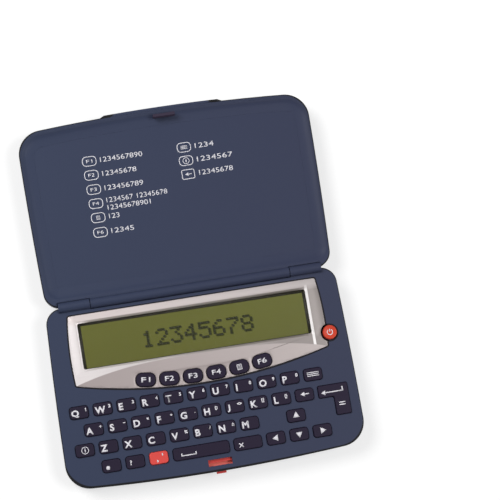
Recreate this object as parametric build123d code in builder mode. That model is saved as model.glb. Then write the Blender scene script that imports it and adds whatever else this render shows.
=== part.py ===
from build123d import *
import math
import os

# Pocket electronic dictionary, standing on its underside with the lid laid open by half a turn.
# X runs along the hinge, +Y from the hinge towards the lid, +Z up; all sizes in millimetres.
# The origin is the middle of the whole object's footprint, on the surface that it stands on.
# Distances called "from the hinge" run forwards on the base and backwards on the lid.

# Case
side_bow = 0.45             # how far each side swells past a straight taper
front_drop = 2.6            # how far the front edge falls back at its ends
front_corner = 10.8
rear_corner = 7.0
hinge_face_gap = 0.15       # each half stops this far from the hinge axis
base_height = 11.5
base_wall = 1.6
floor_thickness = 1.5
top_plate = 1.5
bottom_edge = 2.6
top_edge = 0.6
deck_shift = -0.05          # what stands on the deck, from the middle of the case
power_margin = 3.65         # from the power button to the side of the case
key_margin = 5.4            # from the leftmost key to the side of the case
front_margin = 2.65         # from the latch slot to the front edge

# Lid
lid_thickness = 6.5
lid_side_inset = 0.75       # the lid is this much narrower on each side
lid_plate = 1.4
lid_side_wall = 1.4
lid_front_wall = 2.2
lid_knuckle_wall = 1.15     # between the knuckles' room and the panel's pocket
lid_edge = 2.4
rim_edge = 0.45
panel_recess = 1.2          # inner panel below the rim
panel_thickness = 1.2
panel_clearance = 0.1
post_radius = 2.0
post_inset = (13.8, 17.2)   # from the sides, and from the hinge and the front edge
tab_half_width = 25.2
tab_ramp = 2.0
tab_proud = 0.9
tab_height = 2.6

# Hinge
closing_gap = 0.2           # between rim and base when the lid is shut
barrel_radius = 2.2
barrel_length = 87.7        # middle knuckle, part of the lid
knuckle_gap = 0.3           # along the axis, between the knuckles
knuckle_clearance = 0.25    # around the knuckles
lug_inset = 5.9             # outer end of the base's knuckles, from the side
trunnion_radius = 1.2
trunnion_length = 4.6
trunnion_clearance = 0.05
bore_extra = 0.5            # the bore is deeper than its trunnion
hinge_wall = 2.55           # between the knuckles' room and the hollow of the top cover

# Keys
key_width = 8.0
key_depth = 5.3
key_space = 2.25            # between neighbours in a row
row_space = 2.91            # between rows
wide_key_space = 2.1        # beside the wide keys
key_shift = -4.65           # middle of the top letter row, from the middle of the deck
space_reach = 2.0           # columns from the space bar's first column to its right end
enter_width = 13.05
enter_leg = 6.5
key_corner = 1.3
key_edge = 0.4
key_proud = 0.9             # above the base's top face
key_travel = 0.8
press_room = 0.4            # left between a pressed key and the mat
key_clearance = 0.22
flange_lip = 0.42
flange_thickness = 0.55
flange_gap = 0.05
bezel_to_keys = 1.4
oval_width = 8.35
oval_depth = 5.8
oval_corner = 2.5
oval_space = 1.9
oval_arc_radius = 205.0
oval_shift = 0.15           # middle of the ovals, from the middle of the deck
oval_from_window = 7.3
oval_margin = 0.75          # from the middle ovals to the bezel's front edge
power_radius = 3.1
power_from_bezel = (1.3, 5.7)   # outwards from its side, backwards from its tip

# Display
window_opening = (100.0, 20.0)
window_shift = -0.6         # middle of the window, from the middle of the deck
window_corner = 0.9
window_lap = 1.0            # the window runs this far under the bezel
window_thickness = 1.0
part_clearance = 0.15
lcd_lap = 2.0               # the panel runs this far past the opening
bezel_recess = 0.6
bezel_proud = 0.3
bezel_from_hinge = 1.8      # from the knuckles' room
bezel_above_window = 3.65
bezel_sides = (4.5, 5.8, 5.4)   # beyond the opening: at the hinge, half way and at the tip
bezel_arc = 7.2             # how far the front edge swells past its tips
bezel_corner = 0.8
bezel_edge = 0.25
power_ring = 0.55           # rim of the top cover between the power button's hole and the bezel

# Board, key mat and screws
board_thickness = 1.0
board_clearance = 0.5
mat_thickness = 0.6
mat_lip = 0.9               # past the outer keys
dome_radius = 1.9
dome_top_radius = 1.2
dome_gap = 0.05
chip_size = (12.0, 12.0, 1.2)
chip_x = 18.0
screw_rear_inset = (4.8, 9.0)   # from the side and from the hinge
screw_front_inset = (7.7, 7.1)  # from the side and from the front edge
screw_radius = 0.9
screw_head_radius = 1.8
screw_head_height = 0.8
screw_head_sunk = 0.9
screw_fit = 0.02
screw_clearance = 0.2
screw_end_gap = 0.4
top_boss_radius = 2.2
bottom_boss_radius = 3.0

# Battery
cell_radius = 10.0
cell_height = 3.2
cell_x = -34.0
cell_from_front = 28.5
cell_clearance = 0.2
cell_edge = 0.3
door_lip = (5.0, 3.0)       # past the cell, each side
door_corner = 2.0
door_sunk = 0.1
holder_lip = 1.6            # the cell holder runs this far past the door
holder_height = 3.7
door_screw_inset = 2.4      # from two sides of the door

# Latch
latch_shift = 0.7           # middle of the latch, from the middle of the deck
latch_slot = (10.4, 2.8)
latch_travel = 1.0
latch_room = 0.55           # between the pressed slide and the last row's keys
latch_arm = 1.5
latch_ledge = 1.35
latch_ledge_thickness = 0.7
latch_gap = 0.1
latch_side_gap = 0.2
latch_slab = 1.4
latch_leg = 3.5             # below the slide
nose_half_width = 2.1
nose_height = 2.6
nose_proud = 0.9
guide_thickness = 1.0
hook_side_gap = 0.4
hook_thickness = 1.0
hook_from_ledge = 0.2
hook_reach = 0.8
hook_nose = 0.8
spring_strip = 0.3
spring_height = 2.4
spring_half_span = 5.0
spring_rise = 2.9
spring_post = 1.4

# Heights, worked out downwards from the deck and upwards for the lid
hinge_y = (nose_proud - tab_proud) / 2
hinge_z = base_height + closing_gap / 2
plate_under = base_height - top_plate
key_top = base_height + key_proud
flange_top = plate_under - flange_gap
flange_bottom = flange_top - flange_thickness
mat_top = flange_bottom - key_travel - press_room
board_top = mat_top - mat_thickness
board_bottom = board_top - board_thickness
bezel_bottom = base_height - bezel_recess
bezel_top = base_height + bezel_proud
window_bottom = bezel_bottom - window_thickness
latch_top = plate_under - latch_gap
ledge_bottom = latch_top - latch_ledge_thickness
hook_depth = ledge_bottom - latch_gap - hook_nose
latch_foot = hook_depth - 2 * latch_gap - latch_slab
latch_leg_bottom = latch_foot - latch_leg
seam_height = latch_foot - latch_side_gap
lid_bottom = base_height - lid_thickness
panel_top = base_height - panel_recess
panel_bottom = panel_top - panel_thickness

# Distances from the hinge
knuckle_room = barrel_radius + knuckle_clearance
rear_block = knuckle_room + hinge_wall
lid_hinge_strip = knuckle_room + lid_knuckle_wall
bezel_rear = knuckle_room + bezel_from_hinge
window_distance = bezel_rear + bezel_above_window + window_opening[1] / 2
oval_distance = window_distance + window_opening[1] / 2 + oval_from_window + oval_depth / 2
bezel_front = oval_distance + oval_depth / 2 + oval_margin
bezel_tip = bezel_front - bezel_arc
row_pitch = key_depth + row_space
first_row = bezel_front + bezel_to_keys + key_depth / 2
last_row = first_row + 3 * row_pitch
latch_slot_rear = last_row + key_depth / 2 + flange_lip + latch_travel + latch_room
case_depth = latch_slot_rear + latch_slot[1] + front_margin
front_wall_inside = case_depth - base_wall
slide_front = front_wall_inside - latch_gap
spring_rear = latch_slot_rear - spring_rise - spring_strip
cell_place = (cell_x, case_depth - cell_from_front)
chip_place = (chip_x, case_depth - cell_from_front)

# Distances from the middle of the case
column_pitch = key_width + key_space
first_column = deck_shift + key_shift - 5 * column_pitch
bezel_halves = [window_opening[0] / 2 + side for side in bezel_sides]
power_place = (deck_shift + bezel_halves[1] + power_from_bezel[0], bezel_tip - power_from_bezel[1])
rear_width = 2 * (power_place[0] + power_radius + power_margin)
front_width = 2 * (key_width / 2 - first_column + key_margin)
latch_middle = deck_shift + latch_shift
latch_half_width = latch_slot[0] / 2 + latch_arm
barrel_half = barrel_length / 2
lug_start = barrel_half + knuckle_gap
lug_end = rear_width / 2 - lug_inset
door_size = (2 * (cell_radius + door_lip[0]), 2 * (cell_radius + door_lip[1]))
door_screw = (
    cell_place[0] + door_size[0] / 2 - door_screw_inset,
    cell_place[1] + door_size[1] / 2 - door_screw_inset,
)
screw_rear = (rear_width / 2 - screw_rear_inset[0], screw_rear_inset[1])
screw_front = (front_width / 2 - screw_front_inset[0], case_depth - screw_front_inset[1])
screw_places = [(side * x, y) for x, y in (screw_rear, screw_front) for side in (-1, 1)]


def on_base(x, distance):
    return (x, hinge_y - distance)


def on_display(x, distance):
    return on_base(deck_shift + x, distance)


def on_lid(x, distance):
    return (x, hinge_y + distance)


def front_edge(x):
    return case_depth - front_drop * (2 * x / front_width) ** 2


def case_plan(side, near, side_inset, far_inset, near_radius, far_radius):
    # outline of one half of the case; side is -1 for the base and 1 for the lid
    near_half = rear_width / 2 - side_inset
    far_half = front_width / 2 - side_inset
    middle_half = (near_half + far_half) / 2 + side_bow
    near_y = hinge_y + side * near
    middle_y = hinge_y + side * case_depth / 2
    corner_y = hinge_y + side * (case_depth - front_drop - far_inset)
    far_y = hinge_y + side * (case_depth - far_inset)
    with BuildSketch() as plan:
        with BuildLine():
            Line((-near_half, near_y), (near_half, near_y))
            ThreePointArc((near_half, near_y), (middle_half, middle_y), (far_half, corner_y))
            ThreePointArc((far_half, corner_y), (0, far_y), (-far_half, corner_y))
            ThreePointArc((-far_half, corner_y), (-middle_half, middle_y), (-near_half, near_y))
        make_face()
        fillet(plan.vertices().sort_by(Axis.Y, reverse=side > 0)[:2], far_radius)
        fillet(plan.vertices().sort_by(Axis.Y, reverse=side > 0)[-2:], near_radius)
    return plan.sketch


def base_plan(inset, near=hinge_face_gap):
    return case_plan(-1, near, inset, inset, rear_corner - inset, front_corner - inset)


def lid_plan(side_inset, far_inset, near, near_radius):
    return case_plan(1, near, lid_side_inset + side_inset, far_inset, near_radius, front_corner - side_inset)


def column(number):
    return first_column + number * column_pitch


def key_table():
    # every key that is a plain rounded rectangle: name -> (x, distance, width, depth)
    places = {}

    def place(name, place_in_row, row):
        places["key_" + name] = (column(place_in_row), first_row + row * row_pitch, key_width, key_depth)

    for number, name in enumerate("qwertyuiop"):
        place(name, number, 0)
    place("menu", 10, 0)
    for number, name in enumerate("asdfghjkl"):
        place(name, number + 0.5, 1)
    place("back", 9.5, 1)
    place("info", 0, 2)
    for number, name in enumerate("zxcvbnm"):
        place(name, number + 1, 2)
    place("up", 9, 2)
    for number, name in ((1, "point"), (2, "query"), (3, "second"), (8, "left"), (9, "down"), (10, "right")):
        place(name, number, 3)
    space_left = column(4) - key_width / 2
    space_right = column(4 + space_reach)
    escape_left = space_right + wide_key_space
    escape_right = column(8) - key_width / 2 - key_space
    for name, left, right in (("space", space_left, space_right), ("escape", escape_left, escape_right)):
        places["key_" + name] = ((left + right) / 2, last_row, right - left, key_depth)
    return places


def oval_table():
    # the six function keys on their arc: name -> (x, distance, turn in degrees)
    places = {}
    for number in range(6):
        turn = (number - 2.5) * (oval_width + oval_space) / oval_arc_radius
        x = deck_shift + oval_shift + oval_arc_radius * math.sin(turn)
        distance = oval_distance - oval_arc_radius * (1 - math.cos(turn))
        places[f"key_f{number + 1}"] = (x, distance, math.degrees(turn))
    return places


keys = key_table()
ovals = oval_table()
enter_left = column(9.5) + key_width / 2 + wide_key_space
enter_right = enter_left + enter_width
enter_leg_left = enter_right - enter_leg
enter_rear = first_row + row_pitch - key_depth / 2
enter_step = enter_rear + key_depth
enter_front = enter_step + row_pitch
mat_left = column(0) - key_width / 2 - mat_lip
mat_right = enter_right + mat_lip
mat_rear = min(distance for _, distance, _ in ovals.values()) - oval_depth / 2 - mat_lip
mat_front = last_row + key_depth / 2 + flange_lip + latch_gap


def enter_shape(grow):
    # the return key: a bar with a leg down its right side
    with BuildSketch() as shape:
        with BuildLine():
            Polyline(
                on_base(enter_left - grow, enter_rear - grow),
                on_base(enter_right + grow, enter_rear - grow),
                on_base(enter_right + grow, enter_front + grow),
                on_base(enter_leg_left - grow, enter_front + grow),
                on_base(enter_leg_left - grow, enter_step + grow),
                on_base(enter_left - grow, enter_step + grow),
                close=True,
            )
        make_face()
        fillet(shape.vertices(), key_corner / 2 + grow)
    return shape.sketch


def oval_shape(x, distance, turn, grow):
    with BuildSketch() as shape:
        with Locations(Location((*on_base(x, distance), 0), (0, 0, turn))):
            RectangleRounded(oval_width + 2 * grow, oval_depth + 2 * grow, oval_corner + grow)
    return shape.sketch


def rectangle_shape(x, distance, width, depth, grow):
    with BuildSketch() as shape:
        with Locations(on_base(x, distance)):
            RectangleRounded(width + 2 * grow, depth + 2 * grow, key_corner + grow)
    return shape.sketch


def power_shape(grow):
    with BuildSketch() as shape:
        with Locations(on_base(*power_place)):
            Circle(power_radius + grow)
    return shape.sketch


def key_shapes(grow):
    # plan of every key in the base, grown by the same amount all round: name -> sketch
    shapes = {name: rectangle_shape(*place, grow) for name, place in keys.items()}
    shapes.update({name: oval_shape(*place, grow) for name, place in ovals.items()})
    shapes["key_enter"] = enter_shape(grow)
    shapes["power_button"] = power_shape(grow)
    return shapes


def dome_places():
    # middle of each dome in the mat, one under every key
    places = [on_base(x, distance) for x, distance, *_ in keys.values()]
    places += [on_base(x, distance) for x, distance, _ in ovals.values()]
    places.append(on_base((enter_leg_left + enter_right) / 2, enter_step))
    places.append(on_base(*power_place))
    return places


def window_shape(grow):
    with BuildSketch() as shape:
        with Locations(on_display(window_shift, window_distance)):
            RectangleRounded(window_opening[0] + 2 * grow, window_opening[1] + 2 * grow, window_corner)
    return shape.sketch


def bezel_shape(grow):
    # silver surround: straight at the hinge, bowed sides, deep arc in front, bitten by the power button
    rear_half, side_half, tip_half = bezel_halves
    side_distance = (bezel_rear + bezel_tip) / 2
    with BuildSketch() as shape:
        with BuildLine():
            Line(on_display(-rear_half, bezel_rear), on_display(rear_half, bezel_rear))
            ThreePointArc(
                on_display(rear_half, bezel_rear),
                on_display(side_half, side_distance),
                on_display(tip_half, bezel_tip),
            )
            ThreePointArc(
                on_display(tip_half, bezel_tip),
                on_display(0, bezel_front),
                on_display(-tip_half, bezel_tip),
            )
            ThreePointArc(
                on_display(-tip_half, bezel_tip),
                on_display(-side_half, side_distance),
                on_display(-rear_half, bezel_rear),
            )
        make_face()
        fillet(shape.vertices(), bezel_corner)
        if grow:
            offset(amount=grow)
        with Locations(on_base(*power_place)):
            Circle(power_radius + key_clearance + power_ring - grow, mode=Mode.SUBTRACT)
    return shape.sketch


def finish(piece, name):
    piece.part.label = name
    export_step(piece.part, f"parts/{name}.step")


os.makedirs("parts", exist_ok=True)

# Top cover: deck with the key holes, the bezel's recess, the latch slot and the outer hinge knuckles
key_holes = key_shapes(key_clearance)
with BuildPart() as top_cover:
    with BuildSketch(Plane.XY.offset(seam_height)):
        add(base_plan(0))
    extrude(amount=base_height - seam_height)
    fillet(top_cover.faces().sort_by(Axis.Z)[-1].edges(), top_edge)
    with BuildSketch(Plane.XY.offset(seam_height)):
        add(base_plan(base_wall, rear_block))
    extrude(amount=plate_under - seam_height, mode=Mode.SUBTRACT)
    with BuildSketch(Plane.XY.offset(board_top)):
        with Locations(*[on_base(x, y) for x, y in screw_places]):
            Circle(top_boss_radius)
    extrude(amount=plate_under - board_top)
    with BuildSketch(Plane.XY.offset(board_top)):
        with Locations(*[on_base(x, y) for x, y in screw_places]):
            Circle(screw_radius + screw_fit)
    extrude(amount=plate_under - board_top - flange_gap, mode=Mode.SUBTRACT)
    with BuildSketch(Plane.XY.offset(bezel_bottom)):
        add(bezel_shape(part_clearance))
    extrude(amount=top_plate, mode=Mode.SUBTRACT)
    with BuildSketch(Plane.XY.offset(plate_under)):
        for hole in key_holes.values():
            add(hole)
        add(window_shape(window_lap + part_clearance))
        with Locations(on_base(latch_middle, latch_slot_rear + latch_slot[1] / 2)):
            Rectangle(*latch_slot)
    extrude(amount=2 * top_plate, mode=Mode.SUBTRACT)
    guide_x = latch_half_width + latch_side_gap + guide_thickness / 2
    guide_length = front_wall_inside - latch_slot_rear + latch_travel
    with BuildSketch(Plane.XY.offset(board_top)):
        for side in (-1, 1):
            with Locations(on_base(latch_middle + side * guide_x, front_wall_inside - guide_length / 2)):
                Rectangle(guide_thickness, guide_length + 2 * part_clearance)
    extrude(amount=plate_under - board_top)
    with Locations((latch_middle, hinge_y - case_depth, latch_foot + latch_gap + nose_height / 2)):
        Box(
            2 * (nose_half_width + latch_side_gap),
            4 * base_wall,
            nose_height + 2 * latch_side_gap,
            mode=Mode.SUBTRACT,
        )
    with Locations((0, hinge_y, hinge_z)):
        Cylinder(knuckle_room, 2 * lug_start, rotation=(0, 90, 0), mode=Mode.SUBTRACT)
    for side in (-1, 1):
        with Locations((side * (lug_start + lug_end) / 2, hinge_y, hinge_z)):
            Cylinder(barrel_radius, lug_end - lug_start, rotation=(0, 90, 0))
        bore_depth = trunnion_length + bore_extra - knuckle_gap
        with Locations((side * (lug_start + bore_depth / 2), hinge_y, hinge_z)):
            Cylinder(
                trunnion_radius + trunnion_clearance, bore_depth, rotation=(0, 90, 0), mode=Mode.SUBTRACT
            )
finish(top_cover, "base_top_cover")

# Bottom cover: tray with screw bosses, the cell holder, the latch's shelf and its spring's post
door_hole = (door_size[0] + 2 * part_clearance, door_size[1] + 2 * part_clearance)
holder_size = (door_size[0] + 2 * holder_lip, door_size[1] + 2 * holder_lip)
with BuildPart() as bottom_cover:
    with BuildSketch():
        add(base_plan(0))
    extrude(amount=seam_height)
    fillet(bottom_cover.faces().sort_by(Axis.Z)[0].edges(), bottom_edge)
    with BuildSketch(Plane.XY.offset(floor_thickness)):
        add(base_plan(base_wall, base_wall))
    extrude(amount=seam_height, mode=Mode.SUBTRACT)
    with BuildSketch(Plane.XY.offset(floor_thickness)):
        with Locations(*[on_base(x, y) for x, y in screw_places]):
            Circle(bottom_boss_radius)
    extrude(amount=board_bottom - floor_thickness)
    with BuildSketch(Plane.XY.offset(floor_thickness)):
        with Locations(on_base(*cell_place)):
            Rectangle(*holder_size)
    extrude(amount=holder_height)
    with BuildSketch(Plane.XY.offset(floor_thickness)):
        shelf_depth = slide_front - latch_slot_rear - latch_ledge - latch_gap
        with Locations(on_base(latch_middle, slide_front - shelf_depth / 2)):
            Rectangle(2 * latch_half_width, shelf_depth)
    extrude(amount=seam_height - floor_thickness)
    with BuildSketch(Plane.XY.offset(floor_thickness)):
        with Locations(on_base(latch_middle, spring_rear - spring_post / 2)):
            Rectangle(2 * latch_half_width, spring_post)
    extrude(amount=latch_leg_bottom + spring_height - floor_thickness)
    with BuildSketch():
        with Locations(*[on_base(x, y) for x, y in screw_places]):
            Circle(screw_head_radius + screw_clearance)
    extrude(amount=screw_head_sunk + screw_head_height, mode=Mode.SUBTRACT)
    with BuildSketch():
        with Locations(*[on_base(x, y) for x, y in screw_places]):
            Circle(screw_radius + screw_clearance)
    extrude(amount=base_height, mode=Mode.SUBTRACT)
    with BuildSketch():
        with Locations(on_base(*cell_place)):
            RectangleRounded(*door_hole, door_corner)
    extrude(amount=floor_thickness, mode=Mode.SUBTRACT)
    with BuildSketch():
        with Locations(on_base(*cell_place)):
            Circle(cell_radius + cell_clearance)
    extrude(amount=base_height, mode=Mode.SUBTRACT)
    with BuildSketch():
        with Locations(on_base(*door_screw)):
            Circle(screw_radius + screw_fit)
    extrude(amount=floor_thickness + holder_height - screw_end_gap / 2, mode=Mode.SUBTRACT)
finish(bottom_cover, "base_bottom_cover")

# Battery door and coin cell
with BuildPart() as battery_door:
    with BuildSketch(Plane.XY.offset(door_sunk)):
        with Locations(on_base(*cell_place)):
            RectangleRounded(*door_size, door_corner)
    extrude(amount=floor_thickness - door_sunk)
    with BuildSketch(Plane.XY.offset(door_sunk)):
        with Locations(on_base(*door_screw)):
            Circle(screw_head_radius + screw_clearance)
    extrude(amount=screw_head_height, mode=Mode.SUBTRACT)
    with BuildSketch():
        with Locations(on_base(*door_screw)):
            Circle(screw_radius + screw_clearance)
    extrude(amount=base_height, mode=Mode.SUBTRACT)
finish(battery_door, "battery_door")

with BuildPart() as coin_cell:
    with BuildSketch(Plane.XY.offset(floor_thickness)):
        with Locations(on_base(*cell_place)):
            Circle(cell_radius)
    extrude(amount=cell_height)
    fillet(coin_cell.edges().filter_by(GeomType.CIRCLE), cell_edge)
finish(coin_cell, "coin_cell")

# Circuit board with its chip, and the latch's bay cut out of it
latch_bay_half = latch_half_width + latch_side_gap + guide_thickness + part_clearance
latch_bay_rear = latch_slot_rear - latch_travel - 2 * part_clearance
with BuildPart() as board:
    with BuildSketch(Plane.XY.offset(board_bottom)):
        add(base_plan(base_wall + board_clearance, rear_block + board_clearance))
        with Locations(*[on_base(x, y) for x, y in screw_places]):
            Circle(screw_radius + screw_clearance, mode=Mode.SUBTRACT)
        with Locations(on_base(latch_middle, latch_bay_rear + case_depth / 2)):
            Rectangle(2 * latch_bay_half, case_depth, mode=Mode.SUBTRACT)
    extrude(amount=board_thickness)
    with BuildSketch(Plane.XY.offset(board_bottom - chip_size[2])):
        with Locations(on_base(*chip_place)):
            Rectangle(*chip_size[:2])
    extrude(amount=chip_size[2])
finish(board, "circuit_board")

# Rubber key mat: one dome under each key
with BuildPart() as key_mat:
    with BuildSketch(Plane.XY.offset(board_top)):
        with Locations(on_base((mat_left + mat_right) / 2, (mat_rear + mat_front) / 2)):
            Rectangle(mat_right - mat_left, mat_front - mat_rear)
        with Locations(on_base(power_place[0], (power_place[1] + mat_rear) / 2)):
            Rectangle(2 * power_radius, mat_rear - power_place[1] + 2 * power_radius)
        with Locations(*[on_base(x, y) for x, y in screw_places]):
            Circle(top_boss_radius + board_clearance, mode=Mode.SUBTRACT)
        add(base_plan(base_wall + board_clearance), mode=Mode.INTERSECT)
    extrude(amount=mat_thickness)
    with Locations(*[(x, y, (mat_top + flange_bottom - dome_gap) / 2) for x, y in dome_places()]):
        Cone(dome_radius, dome_top_radius, flange_bottom - dome_gap - mat_top)
finish(key_mat, "key_mat")

# Display: glass panel on the board, clear window over it, silver bezel on the deck
with BuildPart() as lcd_panel:
    with BuildSketch(Plane.XY.offset(board_top)):
        with Locations(on_display(window_shift, window_distance)):
            Rectangle(window_opening[0] + 2 * lcd_lap, window_opening[1] + 2 * lcd_lap)
    extrude(amount=window_bottom - board_top)
finish(lcd_panel, "lcd_panel")

with BuildPart() as window:
    with BuildSketch(Plane.XY.offset(window_bottom)):
        add(window_shape(window_lap))
    extrude(amount=window_thickness)
finish(window, "display_window")

with BuildPart() as bezel:
    with BuildSketch(Plane.XY.offset(bezel_bottom)):
        add(bezel_shape(0))
    extrude(amount=bezel_top - bezel_bottom)
    chamfer(bezel.faces().sort_by(Axis.Z)[-1].edges(), bezel_edge)
    with BuildSketch(Plane.XY.offset(bezel_bottom)):
        add(window_shape(0))
        for name in ovals:
            add(key_holes[name])
    extrude(amount=base_height, mode=Mode.SUBTRACT)
finish(bezel, "display_bezel")

# Case screws, up through the bottom bosses, and the battery door's own screw
with BuildPart() as screws:
    with BuildSketch(Plane.XY.offset(screw_head_sunk)):
        with Locations(*[on_base(x, y) for x, y in screw_places]):
            Circle(screw_head_radius)
    extrude(amount=screw_head_height)
    with BuildSketch(Plane.XY.offset(screw_head_sunk)):
        with Locations(*[on_base(x, y) for x, y in screw_places]):
            Circle(screw_radius)
    extrude(amount=plate_under - screw_end_gap - screw_head_sunk)
    with BuildSketch(Plane.XY.offset(door_sunk)):
        with Locations(on_base(*door_screw)):
            Circle(screw_head_radius)
    extrude(amount=screw_head_height - flange_gap)
    with BuildSketch(Plane.XY.offset(door_sunk)):
        with Locations(on_base(*door_screw)):
            Circle(screw_radius)
    extrude(amount=floor_thickness + holder_height - screw_end_gap - door_sunk)
finish(screws, "case_screws")

# Latch slide: a ledge for the lid's hook, a slab, a leg for the spring and the nose that is pressed
with BuildPart() as latch:
    ledge_front = latch_slot_rear + latch_ledge
    with BuildSketch(Plane.XY.offset(latch_foot)):
        with Locations(on_base(latch_middle, (latch_slot_rear + slide_front) / 2)):
            Rectangle(2 * latch_half_width, slide_front - latch_slot_rear)
    extrude(amount=latch_slab)
    with BuildSketch(Plane.XY.offset(latch_foot)):
        for side in (-1, 1):
            arm_x = latch_middle + side * (latch_half_width - latch_arm / 2)
            with Locations(on_base(arm_x, (latch_slot_rear + slide_front) / 2)):
                Rectangle(latch_arm, slide_front - latch_slot_rear)
    extrude(amount=latch_top - latch_foot)
    with BuildSketch(Plane.XY.offset(ledge_bottom)):
        with Locations(on_base(latch_middle, (latch_slot_rear + ledge_front) / 2)):
            Rectangle(2 * latch_half_width, latch_ledge)
    extrude(amount=latch_ledge_thickness)
    with BuildSketch(Plane.XY.offset(latch_leg_bottom)):
        with Locations(on_base(latch_middle, (latch_slot_rear + ledge_front) / 2 - latch_gap / 2)):
            Rectangle(latch_slot[0], latch_ledge - latch_gap)
    extrude(amount=latch_foot - latch_leg_bottom + latch_slab / 2)
    nose_front = case_depth + nose_proud
    with BuildSketch(Plane.XY.offset(latch_foot + latch_gap)):
        with Locations(on_base(latch_middle, (slide_front + nose_front) / 2)):
            Rectangle(2 * nose_half_width, nose_front - slide_front)
    extrude(amount=nose_height)
finish(latch, "latch_button")

# Latch spring: a bowed strip between the post and the slide's leg
with BuildPart() as spring:
    with BuildSketch(Plane.XY.offset(latch_leg_bottom)):
        with BuildLine():
            ThreePointArc(
                on_base(latch_middle - spring_half_span, spring_rear + spring_strip),
                on_base(latch_middle, latch_slot_rear - spring_strip),
                on_base(latch_middle + spring_half_span, spring_rear + spring_strip),
            )
        trace(line_width=spring_strip)
    extrude(amount=spring_height)
finish(spring, "latch_spring")

# Lid shell: outer tray, rim, finger lip, middle hinge knuckle and the panel's posts
with BuildPart() as lid_shell:
    with BuildSketch(Plane.XY.offset(lid_bottom)):
        add(lid_plan(0, 0, hinge_face_gap, rear_corner))
    extrude(amount=lid_thickness)
    fillet(lid_shell.faces().sort_by(Axis.Z)[0].edges(), lid_edge)
    fillet(lid_shell.faces().sort_by(Axis.Z)[-1].edges(), rim_edge)
    with BuildSketch(Plane.XY.offset(base_height - tab_height)):
        with BuildLine():
            lip_edge = front_edge(tab_half_width)
            lip_root = front_edge(tab_half_width + tab_ramp) - lid_front_wall / 2
            Polyline(
                on_lid(tab_half_width, lip_edge + tab_proud),
                on_lid(tab_half_width + tab_ramp, lip_root + lid_front_wall / 2),
                on_lid(tab_half_width + tab_ramp, lip_root),
                on_lid(-tab_half_width - tab_ramp, lip_root),
                on_lid(-tab_half_width - tab_ramp, lip_root + lid_front_wall / 2),
                on_lid(-tab_half_width, lip_edge + tab_proud),
            )
            ThreePointArc(
                on_lid(-tab_half_width, lip_edge + tab_proud),
                on_lid(0, case_depth + tab_proud),
                on_lid(tab_half_width, lip_edge + tab_proud),
            )
        make_face()
    extrude(amount=tab_height - rim_edge)
    with BuildSketch(Plane.XY.offset(lid_bottom + lid_plate)):
        add(lid_plan(lid_side_wall, lid_front_wall, lid_hinge_strip, rear_corner - lid_side_wall))
    extrude(amount=lid_thickness, mode=Mode.SUBTRACT)
    with BuildSketch(Plane.XY.offset(lid_bottom + lid_plate)):
        with Locations(on_lid(0, case_depth / 2)):
            with GridLocations(rear_width - 2 * post_inset[0], case_depth - 2 * post_inset[1], 2, 2):
                Circle(post_radius)
    extrude(amount=panel_bottom - lid_bottom - lid_plate)
    for side in (-1, 1):
        room_start = lug_start - knuckle_gap
        room_end = lug_end + knuckle_gap
        with Locations((side * (room_start + room_end) / 2, hinge_y, hinge_z)):
            Cylinder(knuckle_room, room_end - room_start, rotation=(0, 90, 0), mode=Mode.SUBTRACT)
    with Locations((0, hinge_y, hinge_z)):
        Cylinder(barrel_radius, barrel_length, rotation=(0, 90, 0))
        Cylinder(trunnion_radius, barrel_length + 2 * trunnion_length, rotation=(0, 90, 0))
finish(lid_shell, "lid_shell")

# Lid panel: recessed inner plate with the hook that the latch holds
with BuildPart() as lid_panel:
    inset = lid_side_wall + panel_clearance
    with BuildSketch(Plane.XY.offset(panel_bottom)):
        add(
            lid_plan(
                inset,
                lid_front_wall + panel_clearance,
                lid_hinge_strip + panel_clearance,
                rear_corner - inset,
            )
        )
    extrude(amount=panel_thickness)
    hook_tip = 2 * hinge_z - hook_depth
    hook_width = latch_slot[0] - 2 * hook_side_gap
    hook_stem = latch_slot_rear + latch_ledge + hook_from_ledge
    with BuildSketch(Plane.XY.offset(panel_top)):
        with Locations(on_lid(latch_middle, hook_stem + hook_thickness / 2)):
            Rectangle(hook_width, hook_thickness)
    extrude(amount=hook_tip - panel_top)
    with BuildSketch(Plane.YZ.offset(latch_middle - hook_width / 2)):
        with BuildLine():
            Polyline(
                (hinge_y + hook_stem, hook_tip),
                (hinge_y + hook_stem, hook_tip - hook_nose),
                (hinge_y + hook_stem - hook_reach, hook_tip - hook_nose),
                (hinge_y + hook_stem - hook_reach / 4, hook_tip),
                close=True,
            )
        make_face()
    extrude(amount=hook_width)
finish(lid_panel, "lid_panel")

# Keys: a flange held under the deck and a cap standing through its hole
caps = key_shapes(0)
flanges = key_shapes(flange_lip)
for name in caps:
    with BuildPart() as key:
        with BuildSketch(Plane.XY.offset(flange_bottom)):
            add(flanges[name])
        extrude(amount=flange_thickness)
        with BuildSketch(Plane.XY.offset(flange_top)):
            add(caps[name])
        extrude(amount=key_top - flange_top)
        fillet(key.faces().sort_by(Axis.Z)[-1].edges(), key_edge)
    finish(key, name)
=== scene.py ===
import math

import bmesh
import bpy
from mathutils import Matrix, Vector


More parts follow.
